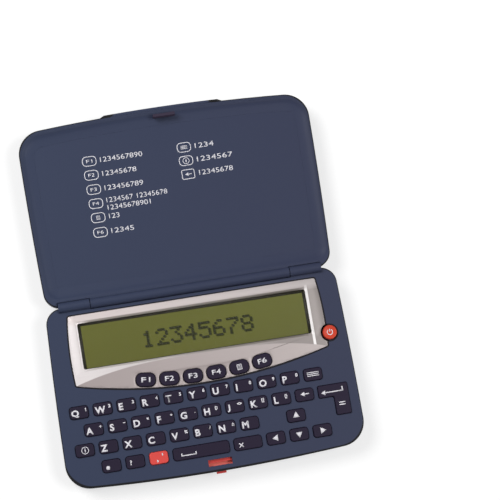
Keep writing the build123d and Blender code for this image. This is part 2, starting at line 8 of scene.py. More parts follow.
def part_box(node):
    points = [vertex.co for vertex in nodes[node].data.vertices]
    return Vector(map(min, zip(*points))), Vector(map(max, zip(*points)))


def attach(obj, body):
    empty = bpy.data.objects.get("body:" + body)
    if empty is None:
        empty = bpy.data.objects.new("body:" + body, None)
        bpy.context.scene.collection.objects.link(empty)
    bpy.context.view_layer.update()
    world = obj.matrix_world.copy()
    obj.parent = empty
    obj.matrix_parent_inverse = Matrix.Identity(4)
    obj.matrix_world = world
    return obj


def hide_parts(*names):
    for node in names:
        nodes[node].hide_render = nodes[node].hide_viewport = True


mm = 0.001
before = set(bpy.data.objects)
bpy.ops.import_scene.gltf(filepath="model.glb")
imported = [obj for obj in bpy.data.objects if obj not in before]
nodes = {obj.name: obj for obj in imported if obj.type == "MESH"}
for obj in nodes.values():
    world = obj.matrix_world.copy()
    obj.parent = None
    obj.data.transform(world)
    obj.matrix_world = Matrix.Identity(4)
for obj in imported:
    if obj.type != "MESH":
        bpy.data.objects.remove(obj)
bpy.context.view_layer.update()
knuckleRise = 2.3 * mm  # above the deck and the lid's rim, which are level
panelDrop = 1.2 * mm  # from the lid's rim to its inner panel
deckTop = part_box("lid_shell")[1].z - knuckleRise
panelTop = deckTop - panelDrop
print("frame loaded with", len(nodes), "nodes")


class Wire:
    # a socket of a material: sums, differences and products of wires add Math nodes
    def __init__(self, tree, socket=None):
        self.tree = tree
        self.socket = socket

    def node(self, kind, settings=None, inputs=None, output=0):
        made = self.tree.nodes.new(kind)
        for name, value in (settings or {}).items():
            setattr(made, name, value)
        for name, value in (inputs or {}).items():
            if isinstance(value, Wire):
                self.tree.links.new(value.socket, made.inputs[name])
            else:
                made.inputs[name].default_value = value
        return Wire(self.tree, made.outputs[output]) if made.outputs else None

    def math(self, operation, first, second=0.0):
        return self.node("ShaderNodeMath", {"operation": operation}, {0: first, 1: second})

    def __add__(self, other):
        return self.math("ADD", self, other)

    def __radd__(self, other):
        return self.math("ADD", other, self)

    def __sub__(self, other):
        return self.math("SUBTRACT", self, other)

    def __rsub__(self, other):
        return self.math("SUBTRACT", other, self)

    def __mul__(self, other):
        return self.math("MULTIPLY", self, other)

    def __rmul__(self, other):
        return self.math("MULTIPLY", other, self)

    def between(self, low, high):
        # 0 at low, 1 at high, straight between and held beyond
        ends = {"Value": self, "From Min": low, "From Max": high}
        return self.node("ShaderNodeMapRange", {"clamp": True}, ends)


def colour(red, green, blue):
    # a colour as a screen shows it, 0 to 255, in the linear values that a socket takes
    def linear(value):
        share = value / 255
        return share / 12.92 if share <= 0.04045 else ((share + 0.055) / 1.055) ** 2.4

    return (linear(red), linear(green), linear(blue), 1.0)


class Finish:
    # a material around one Principled shader, with the piece's own coordinates to hand
    def __init__(self, name, constants):
        self.material = bpy.data.materials.new(name)
        self.material.use_nodes = True
        tree = self.material.node_tree
        self.shader = tree.nodes["Principled BSDF"]
        self.start = Wire(tree)
        self.place = self.start.node("ShaderNodeTexCoord", output="Object")
        self.set(constants)

    def set(self, values):
        for name, value in values.items():
            if isinstance(value, Wire):
                self.material.node_tree.links.new(value.socket, self.shader.inputs[name])
            else:
                self.shader.inputs[name].default_value = value

    def noise(self, size, detail=2.0, roughness=0.5, stretch=(1, 1, 1)):
        # soft noise from 0 to 1, with features of about this size in metres
        where = self.place
        if stretch != (1, 1, 1):
            where = self.start.node("ShaderNodeMapping", {}, {"Vector": where, "Scale": stretch})
        inputs = {"Vector": where, "Scale": 1 / size, "Detail": detail, "Roughness": roughness}
        return self.start.node("ShaderNodeTexNoise", {}, inputs, output="Fac")

    def axis(self, name):
        return self.start.node("ShaderNodeSeparateXYZ", {}, {"Vector": self.place}, output=name)

    def mix(self, share, first, second):
        # sockets 6 and 7 and output 2 are the ones for colours
        inputs = {0: share, 6: first, 7: second}
        return self.start.node("ShaderNodeMix", {"data_type": "RGBA"}, inputs, output=2)

    def paint(self, share, tint):
        # another colour over the one that is there
        under = Wire(self.material.node_tree, self.shader.inputs["Base Color"].links[0].from_socket)
        self.set({"Base Color": self.mix(share, under, tint)})

    def bump(self, height, depth):
        # height runs from 0 to 1 and stands for this depth in metres
        inputs = {"Height": height, "Distance": depth, "Strength": 1.0}
        self.set({"Normal": self.start.node("ShaderNodeBump", {}, inputs)})


def dress(name, material):
    nodes[name].data.materials.clear()
    nodes[name].data.materials.append(material)


# Moulded plastics: a look has two tints that drift into each other, light specks and a roughness

moulding = {
    "ior": 1.48,
    "specular": 0.16,
    "grain": 0.22 * mm,
    "grainDepth": 0.010 * mm,
    "drift": 34 * mm,  # size of the patches in which the tints drift
}
casing = {
    "tint": colour(49, 58, 81),
    "purpler": colour(49, 53, 75),
    "speck": colour(78, 86, 112),
    "specks": 0.10,
    "rough": 0.46,
    "hookTint": colour(50, 42, 60),
    # painted shade: the dark colour of the outline's line and roll and of the lid's darker rim
    "edge": colour(10, 10, 14),
    "rollTop": 0.03 * mm,  # the painted shade on the roll runs from here down to its foot
    "rollFoot": 0.75 * mm,
    "rollInside": 0.9 * mm,  # walls further inside the outline stay plain
    "border": 0.42 * mm,  # width of the painted shade line inside the outline
    "frontBorder": 0.55 * mm,  # how much wider it is at the front
    "borderFade": 0.12 * mm,
    "borderDepth": 0.7 * mm,  # below the deck, where it ends
    "tabReach": 1.45 * mm,  # how far the finger lip stands outside the outline
    "tabStart": 20.5 * mm,
    "tabEnd": 22.5 * mm,
    "rimShade": 0.14,
    # the outline itself
    "frontCorner": 10.8 * mm,
    "rearCorner": 7.0 * mm,
    "frontDrop": 2.6 * mm,  # how far the ends of the far edge lie behind its middle
    "sideBow": 0.45 * mm,
    "taper": 1.55 * mm,  # how much narrower each side is at the hinge
    "lidInset": 0.75 * mm,
    "hingeGap": 0.15 * mm,
}


def mouldedPlastic(name, look):
    # satin moulded plastic: fine spark-eroded grain, slow drift of shade, polish that varies a little
    finish = Finish(name, {"IOR": moulding["ior"], "Specular IOR Level": moulding["specular"]})
    grain = finish.noise(moulding["grain"], 3.0, 0.6)
    drift = finish.noise(moulding["drift"], 2.0, 0.4)
    across = finish.axis("X").between(-75 * mm, 75 * mm)
    shade = finish.mix(across * 0.75 + drift * 0.25, look["tint"], look["purpler"])
    shade = finish.mix(grain.between(0.30, 0.72) * look["specks"], shade, look["speck"])
    finish.set({"Base Color": shade, "Roughness": grain * 0.10 + drift * 0.05 + (look["rough"] - 0.075)})
    finish.bump(grain, moulding["grainDepth"])
    return finish


def panelPlastic():
    # the lid's inner panel is the casing's plastic, and its latch hook above it is darker and more purple
    finish = mouldedPlastic("panelPlastic", casing)
    finish.paint(finish.axis("Z").between(panelTop + 0.2 * mm, panelTop + 0.25 * mm), casing["hookTint"])
    return finish.material


def shadeRim(finish):
    # the lid's rim is a touch darker away from the hinge
    atRim = finish.axis("Z").between(deckTop - 0.25 * mm, deckTop - 0.05 * mm)
    finish.paint(atRim * finish.axis("Y").between(6 * mm, 26 * mm) * casing["rimShade"], casing["edge"])


def outlineDepth(finish, side):
    # depth inside the outline of the base (side -1) or the lid (1), and from its far edge alone:
    # the sides bow and spread, the far edge bows, and the corners are round
    start = finish.start
    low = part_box("base_top_cover")[0]
    y = finish.axis("Y") * side
    x = start.math("ABSOLUTE", finish.axis("X"))
    along = y * (-1 / low.y)
    half = along * (1 - along) * (4 * casing["sideBow"]) + along * casing["taper"]
    half = half - (low.x + casing["taper"] + (casing["lidInset"] if side > 0 else 0))
    far = -1 * y - low.y - x * x * (casing["frontDrop"] / low.x**2)

    def cornered(away, corner):
        over = [start.math("MAXIMUM", corner - distance, 0.0) for distance in (half - x, away)]
        return corner - start.math("SQRT", over[0] * over[0] + over[1] * over[1])

    near = cornered(y - casing["hingeGap"], casing["rearCorner"])
    return start.math("MINIMUM", cornered(far, casing["frontCorner"]), near), far


def edgedPlastic(name, side):
    # the casing's plastic, with a dark line of painted shade along its outline that rolls over the edge
    finish = mouldedPlastic(name, casing)
    x, z = finish.axis("X"), finish.axis("Z")
    inside, far = outlineDepth(finish, side)
    atFar = far.between(10 * mm, 3 * mm)
    if side < 0:
        width = atFar * (1 - x.between(10 * mm, 62 * mm) * 0.6) * casing["frontBorder"] + casing["border"]
    else:
        tab = finish.start.math("ABSOLUTE", x).between(casing["tabEnd"], casing["tabStart"]) * atFar
        width = casing["border"] - tab * casing["tabReach"]
    # painted shade: a dark line just inside the outline
    border = (inside - width).between(casing["borderFade"], -casing["borderFade"])
    borderFoot = deckTop - casing["borderDepth"]
    border = border * z.between(borderFoot - 0.2 * mm, borderFoot)
    border = border * z.between(deckTop + 0.06 * mm, deckTop + 0.03 * mm)  # not up the knuckles
    # painted shade on the rolled edge and the top of the walls
    paintedRoll = z.between(deckTop - casing["rollTop"], deckTop - casing["rollTop"] - 0.09 * mm)
    paintedRoll = paintedRoll * z.between(deckTop - casing["rollFoot"] - 0.1 * mm, deckTop - casing["rollFoot"])
    paintedRoll = paintedRoll * inside.between(-0.25 * mm, -0.15 * mm)
    paintedRoll = paintedRoll * inside.between(casing["rollInside"] + 0.2 * mm, casing["rollInside"])
    if side > 0:
        paintedRoll = paintedRoll * (1 - tab)
        shadeRim(finish)
    finish.paint(finish.start.math("MAXIMUM", paintedRoll, border), casing["edge"])
    return finish.material


casingPlastic = mouldedPlastic("casingPlastic", casing).material
dress("base_top_cover", edgedPlastic("deckPlastic", -1))
dress("lid_shell", edgedPlastic("lidPlastic", 1))
dress("lid_panel", panelPlastic())
dress("base_bottom_cover", casingPlastic)
dress("battery_door", casingPlastic)

dark = {
    "tint": colour(23, 15, 36),
    "purpler": colour(25, 15, 38),
    "speck": colour(62, 56, 76),
    "specks": 0.10,
    "rough": 0.50,
}
red = {
    "tint": colour(223, 80, 74),
    "purpler": colour(212, 66, 62),
    "speck": colour(240, 140, 130),
    "specks": 0.06,
    "rough": 0.38,
    # painted light: a lighter red that offsets the shade deep in the slot
    "deep": colour(255, 128, 116),
    "deepFrom": 2.3 * mm,  # below the deck
    "deepTo": 3.1 * mm,
}
keyPlastic = mouldedPlastic("keyPlastic", dark).material
redPlastic = mouldedPlastic("redPlastic", red).material
for name in nodes:
    if name.startswith("key_") and name != "key_mat":
        dress(name, redPlastic if name == "key_second" else keyPlastic)


def latchPlastic():
    # the same red, with painted light: lighter on the foot that lies deep in the slot, to offset the shade
    # there
    finish = mouldedPlastic("latchPlastic", red)
    finish.paint(finish.axis("Z").between(deckTop - red["deepFrom"], deckTop - red["deepTo"]), red["deep"])
    return finish.material


dress("latch_button", latchPlastic())
print("moulded plastics done")


# New pieces: helpers for a finished mesh, flat sheets, plates and printed marks


def placePiece(name, shape, body, material, crease=30):
    # a bmesh in millimetres becomes a closed piece that rides on a body
    bmesh.ops.recalc_face_normals(shape, faces=shape.faces)
    bmesh.ops.scale(shape, vec=(mm, mm, mm), verts=shape.verts)
    mesh = bpy.data.meshes.new(name)
    shape.to_mesh(mesh)
    shape.free()
    mesh.shade_smooth()
    if crease:
        mesh.set_sharp_from_angle(angle=math.radians(crease))
    mesh.materials.append(material)
    piece = bpy.data.objects.new(name, mesh)
    bpy.context.scene.collection.objects.link(piece)
    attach(piece, body)
    return piece


def flatCopy(name):
    # the underside of a node as a flat sheet in millimetres that faces up
    shape = bmesh.new()
    shape.from_mesh(nodes[name].data)
    bmesh.ops.scale(shape, vec=(1 / mm, 1 / mm, 1 / mm), verts=shape.verts)
    bmesh.ops.remove_doubles(shape, verts=shape.verts, dist=0.001)
    floor = min(vert.co.z for vert in shape.verts)
    raised = [face for face in shape.faces if max(vert.co.z for vert in face.verts) > floor + 0.01]
    bmesh.ops.delete(shape, geom=raised, context="FACES")
    bmesh.ops.reverse_faces(shape, faces=shape.faces)
    return shape


def grow(sheet, distance):
    # moves a flat sheet's border outwards
    ring = bmesh.ops.inset_region(
        sheet, faces=sheet.faces[:], thickness=-distance, use_boundary=True, use_even_offset=True
    )["faces"]
    bmesh.ops.delete(sheet, geom=ring, context="FACES")


def thicken(shape, thickness):
    # a flat sheet becomes a plate that stands on it
    flat = shape.faces[:]
    raised = bmesh.ops.extrude_face_region(shape, geom=flat)["geom"]
    upper = [part for part in raised if isinstance(part, bmesh.types.BMVert)]
    bmesh.ops.translate(shape, vec=(0, 0, thickness), verts=upper)


def placePlate(name, sheet, height, thickness, body, material, crease=0):
    # a sheet drawn at height 0 becomes a plate that stands at this height in millimetres
    thicken(sheet, thickness)
    bmesh.ops.translate(sheet, vec=(0, 0, height), verts=sheet.verts)
    return placePiece(name, sheet, body, material, crease)


def lay(x, y, turn=0, width=1, height=1):
    # where a mark drawn round the origin goes: its size first, then its turn in degrees, then its place
    spun = Matrix.Translation((x, y, 0)) @ Matrix.Rotation(math.radians(turn), 4, "Z")
    return spun @ Matrix.Diagonal((width, height, 1, 1))


def addBar(ink, x, y, width, height, turn=0):
    # bars that cross lie a hair apart in height
    rise = Matrix.Translation((0, 0, 0.003 * (len(ink.faces) % 4)))
    matrix = rise @ lay(x, y, turn, width, height)
    bmesh.ops.create_grid(ink, x_segments=1, y_segments=1, size=0.5, matrix=matrix)


def addDisc(ink, x, y, radius, sides=24, turn=0):
    # three sides make an arrow head, which points along +Y until it is turned
    matrix = lay(x, y, turn)
    bmesh.ops.create_circle(ink, cap_ends=True, segments=sides, radius=radius, matrix=matrix)


def addRing(ink, x, y, radius, line, start=0, sweep=360, steps=32):
    # a round line of this width; a sweep under 360 leaves it open
    ends = [ink.verts.new(lay(x, y, start) @ Vector((size, 0, 0))) for size in (radius - line, radius)]
    edge = ink.edges.new(ends)
    full = sweep >= 360
    bmesh.ops.spin(
        ink,
        geom=ends + [edge],
        cent=(x, y, 0),
        axis=(0, 0, 1),
        angle=math.radians(sweep),
        steps=steps,
        use_merge=full,
    )


def addFrame(ink, x, y, width, height, corner, line):
    # the outline of a rounded rectangle
    matrix = lay(x, y, 0, width, height)
    made = bmesh.ops.create_grid(ink, x_segments=1, y_segments=1, size=0.5, matrix=matrix)
    rounded = bmesh.ops.bevel(
        ink, geom=made["verts"], offset=corner, segments=6, profile=0.5, affect="VERTICES", material=-1
    )
    face = next(face for face in rounded["verts"][0].link_faces if len(face.verts) > 8)
    bmesh.ops.inset_region(ink, faces=[face], thickness=line, use_boundary=True, use_even_offset=True)
    bmesh.ops.delete(ink, geom=[face], context="FACES_ONLY")


letterCap = 0.682  # share of the built-in font's size that its capitals take


def addText(ink, text, x, y, height, weight=0.0, anchor=0.5, span=None):
    # capitals of this height with their middle at y; anchor 0 starts at x and 0.5 centres there,
    # and a span stretches the line to that width
    curve = bpy.data.curves.new("letters", "FONT")
    curve.body = text
    curve.size = height / letterCap
    curve.resolution_u = 5
    holder = bpy.data.objects.new("letters", curve)
    bpy.context.scene.collection.objects.link(holder)
    mesh = bpy.data.meshes.new_from_object(holder)
    across = [vertex.co.x for vertex in mesh.vertices]
    upwards = [vertex.co.y for vertex in mesh.vertices]
    wide = max(across) - min(across)
    stretch = span / wide if span else 1
    # a capital with a tail, like the Q, is pressed up until it stands on the line
    tail = min(0, min(upwards) + 0.08 * height)
    squash = 1 / (1 - tail / height) if len(text) == 1 else 1
    mesh.transform(Matrix.Translation((-min(across) - anchor * wide, -tail if squash != 1 else 0, 0)))
    mesh.transform(Matrix.Diagonal((stretch, squash, 1, 1)))
    mesh.transform(Matrix.Translation((x, y - height / 2, 0)))
    sheet = bmesh.new()
    sheet.from_mesh(mesh)
    bmesh.ops.remove_doubles(sheet, verts=sheet.verts, dist=0.0001)
    if weight:
        grow(sheet, weight)
    sheet.to_mesh(mesh)
    sheet.free()
    ink.from_mesh(mesh)
    bpy.data.objects.remove(holder)
    bpy.data.curves.remove(curve)
    bpy.data.meshes.remove(mesh)


inkLook = {
    "white": colour(238, 236, 240),
    "duller": colour(214, 212, 222),
    "thickness": 0.035,
    "sink": 0.01,  # into the surface, so that no gap shows
}


def printInk():
    # white pad-printed ink, a little thinner here and there
    finish = Finish("printInk", {"Specular IOR Level": 0.4})
    patches = finish.noise(0.6 * mm, 3.0, 0.6)
    finish.set(
        {
            "Base Color": finish.mix(patches.between(0.35, 0.75), inkLook["white"], inkLook["duller"]),
            "Roughness": patches * 0.15 + 0.42,
        }
    )
    finish.bump(patches, 0.004 * mm)
    return finish.material


whiteInk = printInk()


def printOn(node, ink, turn=0, drop=0.0):
    # marks drawn around a button's middle go onto its top face, or this far below it
    low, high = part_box(node)
    middle = (low + high) / 2 / mm
    bmesh.ops.transform(ink, matrix=lay(middle.x, middle.y, turn), verts=ink.verts)
    height = high.z / mm - drop - inkLook["sink"]
    placePlate("legend_" + node, ink, height, inkLook["thickness"], node, whiteInk)


# Key legends

legends = {
    "letterLeft": -3.2,
    "letterMiddle": -0.38,
    "letterHeight": 2.75,
    "letterWeight": 0.15,
    "smallMiddle": (3.0, 0.85),
    "smallShift": 0.9,  # to the left, where there are two small characters
    "smallHeight": 1.3,
    "smallWeight": 0.1,
}
letterKeys = dict(zip("qwertyuiop", "1234567890"))
letterKeys.update(zip("asdfghjkl", ("+", "−", "×", "÷", ".", "()", "<>", "[]", "{}")))
letterKeys.update(zip("zxcvbnm", ("", "", "", "%", "√", "±", "")))


def letterLegend(letter, small):
    ink = bmesh.new()
    addText(
        ink,
        letter.upper(),
        legends["letterLeft"],
        legends["letterMiddle"],
        legends["letterHeight"],
        legends["letterWeight"],
        anchor=0,
    )
    if small:
        x, y = legends["smallMiddle"]
        shift = legends["smallShift"] if len(small) > 1 else 0
        addText(ink, small, x - shift, y, legends["smallHeight"], legends["smallWeight"])
    printOn("key_" + letter, ink)


for letter, small in letterKeys.items():
    letterLegend(letter, small)


# the signs of the other keys, in millimetres from each key's middle
signs = {
    "menu": (0, 0.1, 5.2, 1.9),  # x, y, width, height
    "back": (-0.3, 0.3, 2.0, 1.7),  # x, y, head, shaft
    "info": (0.1, 0, 1.6),  # x, y, radius
    "point": (-1.6, -0.75, 0.85),
    "query": (-1.85, -0.15, 1.9, 0.1),  # x, y, height, weight
    "comma": (-0.7, -0.3, 2.6, 0.12),
    "quote": (1.7, 0.3, 2.4, 0.12),
    "space": ((-8.6, -0.5, 0.45, 1.3), (-2.4, -0.5, 0.45, 1.3), (-5.5, -0.92, 6.6, 0.45)),
    "cross": (-3.0, -0.5, 2.5, 0.45),
    "head": (0, 0.05, 1.65),
    "enterBar": 3.3,  # from the rear edge of the L to the middle of its bar
    "enterArrow": (-3.9, -0.4, 2.0, 7.4),  # x, y from the bar's middle, head, shaft
    "enterHook": (4.1, 0.4, 0.5, 2.1),  # x, y from the bar's middle, width, height
    "enterFoot": (3.9, 5.1),  # from its right and front edges to the sign on its foot
    "equals": (2.7, 0.5, 0.5),  # width, height, distance from the sign's middle
}


def listMark(ink, x, y, size):
    # a small page with lines
    addFrame(ink, x, y, size * 1.1, size * 1.25, size * 0.12, size * 0.14)
    for row in (-0.28, 0, 0.28):
        addBar(ink, x, y + row * size, size * 0.62, size * 0.12)


def infoMark(ink, x, y, radius):
    addRing(ink, x, y, radius, radius * 0.17)
    addBar(ink, x, y - radius * 0.14, radius * 0.32, radius * 0.78)
    addDisc(ink, x, y + radius * 0.42, radius * 0.15, sides=12)


def menuMark(ink, x, y, width, height):
    for row in (-0.5, 0, 0.5):
        addBar(ink, x, y + row * (height - 0.4), width, height * 0.19)


def arrowMark(ink, x, y, size, shaft=0.0):
    # points along -X
    addDisc(ink, x - size * 0.15, y, size * 0.62, sides=3, turn=90)
    if shaft:
        addBar(ink, x + size * 0.35 + shaft / 2 - 0.3, y, shaft + 0.5, size * 0.24)


def plainLegends():
    marks = {name: bmesh.new() for name in ("menu", "back", "enter", "info", "point", "query", "second")}
    marks.update({name: bmesh.new() for name in ("space", "escape", "up", "down", "left", "right")})
    menuMark(marks["menu"], *signs["menu"])
    arrowMark(marks["back"], *signs["back"])
    infoMark(marks["info"], *signs["info"])
    addDisc(marks["point"], *signs["point"])
    addText(marks["query"], "?", *signs["query"])
    addText(marks["second"], ",", *signs["comma"])
    addText(marks["second"], "'", *signs["quote"])
    for bar in signs["space"]:
        addBar(marks["space"], *bar)
    for turn in (45, -45):
        addBar(marks["escape"], *signs["cross"], turn)
    for name, turn in (("up", 0), ("left", 90), ("down", 180), ("right", -90)):
        addDisc(marks[name], *signs["head"], sides=3, turn=turn)
    # the return key is an L: its arrow lies on the bar at the rear, and the sign on the foot
    low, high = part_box("key_enter")
    wide, deep = (high.x - low.x) / mm, (high.y - low.y) / mm
    barMiddle = deep / 2 - signs["enterBar"]
    for draw, place in ((arrowMark, signs["enterArrow"]), (addBar, signs["enterHook"])):
        x, y, *sizes = place
        draw(marks["enter"], x, barMiddle + y, *sizes)
    fromRight, fromFront = signs["enterFoot"]
    width, height, apart = signs["equals"]
    for row in (-apart, apart):
        addBar(marks["enter"], wide / 2 - fromRight, fromFront - deep / 2 + row, width, height)
    for name, ink in marks.items():
        printOn("key_" + name, ink)


plainLegends()
oval = {
    "turn": 2.865,  # degrees from one key to the next
    "height": 2.0,
    "weight": 0.07,
    "span": 1.9,  # width of a mark for a height of 1
}


def ovalMark(ink, number, x, y, height, weight):
    # the fifth key calls up the list
    if number == 5:
        listMark(ink, x, y, height)
    else:
        addText(ink, "F" + str(number), x, y, height, weight, span=height * oval["span"])


for number in range(1, 7):
    ink = bmesh.new()
    ovalMark(ink, number, 0, 0, oval["height"], oval["weight"])
    printOn("key_f" + str(number), ink, turn=(number - 3.5) * oval["turn"])
print("key legends done")

# Lid legends: pills with the function keys' marks and plain figures beside them

lidLook = {
    "leftPills": -34.65,
    "rightPills": 7.35,
    "pill": (6.3, 4.4),
    "pillCorner": 1.75,
    "pillLine": 0.32,
    "squarePill": (5.8, 4.4),
    "squareCorner": 0.8,
    "markHeight": 1.45,
    "markWeight": 0.01,
    "menuSize": (2.9, 1.6),
    "infoRadius": 1.45,
    "backArrow": (1.5, 1.2),  # head, shaft
    "backShift": -0.2,
    "figureHeight": 2.15,
    "figureWeight": 0.01,
    "leftFigures": -29.9,
    "rightFigures": 12.2,
}
# middle of each row, its figures and where they end
leftRows = (
    (61.97, "1234567890", -11.2),
    (55.74, "12345678", -14.8),
    (49.31, "123456789", -12.8),
    (43.01, "", 0),
    (36.73, "123", -25.3),
    (30.2, "12345", -19.9),
)
doubleRow = ((43.86, "1234567 12345678", -3.0), (40.5, "12345678901", -10.9))
rightRows = ((61.91, "1234", 20.6), (55.87, "1234567", 28.1), (49.8, "12345678", 27.3))


def lidLegends():
    ink = bmesh.new()
    height, weight = lidLook["figureHeight"], lidLook["figureWeight"]
    rows = [(lidLook["leftFigures"], *row) for row in (*leftRows, *doubleRow)]
    rows += [(lidLook["rightFigures"], *row) for row in rightRows]
    for start, y, figures, end in rows:
        if figures:
            addText(ink, figures, start, y, height, weight, anchor=0, span=end - start)
    pill = (*lidLook["pill"], lidLook["pillCorner"], lidLook["pillLine"])
    square = (*lidLook["squarePill"], lidLook["squareCorner"], lidLook["pillLine"])
    x = lidLook["leftPills"]
    for number, (y, _, _) in enumerate(leftRows, start=1):
        addFrame(ink, x, y, *pill)
        ovalMark(ink, number, x, y, lidLook["markHeight"], lidLook["markWeight"])
    x = lidLook["rightPills"]
    menuY, infoY, backY = (y for y, _, _ in rightRows)
    for y, outline in ((menuY, pill), (infoY, pill), (backY, square)):
        addFrame(ink, x, y, *outline)
    menuMark(ink, x, menuY, *lidLook["menuSize"])
    infoMark(ink, x, infoY, lidLook["infoRadius"])
    arrowMark(ink, x + lidLook["backShift"], backY, *lidLook["backArrow"])
    height = panelTop / mm - inkLook["sink"]
    placePlate("legend_lid", ink, height, inkLook["thickness"], "lid", whiteInk)


lidLegends()
print("lid legends done")

# Lid liner: a soft cove that hides the seam between the lid's rim and its panel

liner = {
    "reach": 0.92,  # how far it laps over the rim
    "rise": 0.03,  # above the rim
    # inwards and down from the rim
    "steps": ((0.9, 0.0), (0.6, 0.45), (1.2, 0.8), (1.5, 1.02), (1.6, 1.16)),
    "thickness": 0.05,
}


def makeLiner():
    finish = mouldedPlastic("linerPlastic", casing)
    shadeRim(finish)
    shape = flatCopy("lid_panel")
    grow(shape, liner["reach"])
    panel = shape.faces[:]
    rim = deckTop / mm + liner["rise"]
    for vert in shape.verts:
        vert.co.z = rim
    for step, drop in liner["steps"]:
        bmesh.ops.inset_region(shape, faces=panel, thickness=step, use_boundary=True, use_even_offset=True)
        for vert in {vert for face in panel for vert in face.verts}:
            vert.co.z = rim - drop
    bmesh.ops.delete(shape, geom=panel, context="FACES")
    made = bmesh.ops.extrude_face_region(shape, geom=shape.faces[:])["geom"]
    lower = [part for part in made if isinstance(part, bmesh.types.BMVert)]
    bmesh.ops.translate(shape, vec=(0, 0, -liner["thickness"]), verts=lower)
    placePiece("lid_liner", shape, "lid", finish.material, crease=50)


makeLiner()
print("lid liner done")

# Display: window, mask and dot-matrix figures over the crystal, and the faceted bezel

display = {
    "tint": colour(91, 92, 23),
    "lighter": colour(102, 104, 32),
    "fibreTint": colour(80, 83, 24),
    "hazeTint": (colour(70, 74, 52), colour(84, 88, 64)),
    "windowGap": 0.15,  # between the crystal and the window
    "windowCorner": 1.0,
    "lap": 1.0,  # how far the window and the mask reach under the bezel
    # painted shade: the mask stands in for the shadow inside the bezel's opening
    "maskTint": (colour(34, 30, 26), colour(44, 40, 34)),
    "maskGap": 0.05,  # between the crystal and the mask
    "maskThickness": 0.04,
    "maskTop": 1.1,
    "maskTaper": 0.75,  # how much lower its rear strip lies on the right
    "maskLeft": 1.0,
    "maskRight": 1.3,
    "maskFront": 0.3,
    "maskOverlap": 0.2,
    "dots": "12345678",
    "dotsLeft": -24.35,
    "dotsTop": -15.34,
    "dotPitch": 1.03,
    "dotSize": 0.96,
    "dotThickness": 0.02,
    "dotRise": 0.03,  # of the dots over their shadow
    "dotTint": (colour(33, 35, 11), colour(40, 43, 15)),
    "shadow": (0.42, -0.28),  # how far the dots' shadow falls to the right and to the front
    "shadowTint": (colour(60, 64, 27), colour(66, 70, 31)),
    "letterPitch": 6.25,
}
# rows of five dots, from the top, as binary numbers
dotRows = {
    "1": (4, 12, 4, 4, 4, 4, 14),
    "2": (14, 17, 1, 2, 4, 8, 31),
    "3": (31, 2, 4, 2, 1, 17, 14),
    "4": (2, 6, 10, 18, 31, 2, 2),
    "5": (31, 16, 30, 1, 1, 17, 14),
    "6": (6, 8, 16, 30, 17, 17, 14),
    "7": (31, 1, 2, 4, 8, 8, 8),
    "8": (14, 17, 17, 14, 17, 17, 14),
}
openLow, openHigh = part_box("display_window")
crystalTop = openLow.z / mm
windowTop = openHigh.z / mm


def crystalLook():
    # olive passive display: fine fibres, faint cloudiness, polariser sheen
    finish = Finish("crystal", {"Roughness": 0.35, "Specular IOR Level": 0.35})
    cloud = finish.noise(22 * mm, 2.0, 0.5)
    fibres = finish.noise(0.35 * mm, 2.0, 0.6)
    light = finish.axis("Y").between(-29 * mm, -7 * mm)
    shade = finish.mix(light * 0.5 + cloud * 0.5, display["tint"], display["lighter"])
    finish.set({"Base Color": finish.mix(fibres * 0.18, shade, display["fibreTint"])})
    finish.bump(fibres, 0.003 * mm)
    return finish.material


def dotInk(name, tints):
    finish = Finish(name, {"Roughness": 0.4, "Specular IOR Level": 0.3})
    finish.set({"Base Color": finish.mix(finish.noise(0.5 * mm, 2.0), *tints)})
    return finish.material


def maskInk():
    # a dark sheet for painted shade
    finish = Finish("maskInk", {"Roughness": 0.55, "Specular IOR Level": 0.3})
    finish.set({"Base Color": finish.mix(finish.noise(0.4 * mm, 2.0), *display["maskTint"])})
    return finish.material


def clearPlastic():
    # hard-coated clear acrylic with faint haze
    finish = Finish("clearPlastic", {"IOR": 1.49, "Alpha": 0.05, "Specular IOR Level": 0.3})
    haze = finish.noise(8 * mm, 2.0)
    finish.set({"Base Color": finish.mix(haze, *display["hazeTint"]), "Roughness": haze * 0.04 + 0.05})
    return finish.material


def makeDots():
    # dark dots, and below them the softer shadow that they cast on the display's back
    for name, shift, rise, ink in (
        ("display_shadow", display["shadow"], 0.0, dotInk("dotShadow", display["shadowTint"])),
        ("display_figures", (0, 0), display["dotRise"], dotInk("dotInk", display["dotTint"])),
    ):
        dots = bmesh.new()
        for place, figure in enumerate(display["dots"]):
            for row, bits in enumerate(dotRows[figure]):
                for column in range(5):
                    if bits >> (4 - column) & 1:
                        across = place * display["letterPitch"] + (column + 0.5) * display["dotPitch"]
                        x = display["dotsLeft"] + shift[0] + across
                        y = display["dotsTop"] + shift[1] - (row + 0.5) * display["dotPitch"]
                        addBar(dots, x, y, display["dotSize"], display["dotSize"])
        height = crystalTop - inkLook["sink"] + rise
        placePlate(name, dots, height, display["dotThickness"], "base", ink)


def makeMask():
    # dark sheet of painted shade that shows just inside the bezel's opening: four strips that overlap at
    # the ends
    shape = bmesh.new()
    left, right = openLow.x / mm, openHigh.x / mm
    rear, front = openHigh.y / mm, openLow.y / mm
    sides = [display["lap"] + display[side] for side in ("maskTop", "maskFront", "maskLeft", "maskRight")]
    rearStrip, frontStrip, leftStrip, rightStrip = sides
    middleX, taper = (left + right) / 2, display["maskTaper"]
    turn = -math.degrees(taper / (right - left))
    addBar(shape, middleX, rear - (rearStrip + taper) / 2, right - left, rearStrip, turn)
    addBar(shape, middleX, front + frontStrip / 2, right - left, frontStrip)
    middleY = (rear + front + frontStrip - rearStrip) / 2
    length = rear - front - rearStrip - frontStrip + 2 * display["maskOverlap"]
    addBar(shape, left + leftStrip / 2, middleY, leftStrip, length)
    addBar(shape, right - rightStrip / 2, middleY, rightStrip, length)
    height = crystalTop + display["maskGap"]
    placePlate("display_mask", shape, height, display["maskThickness"], "base", maskInk())


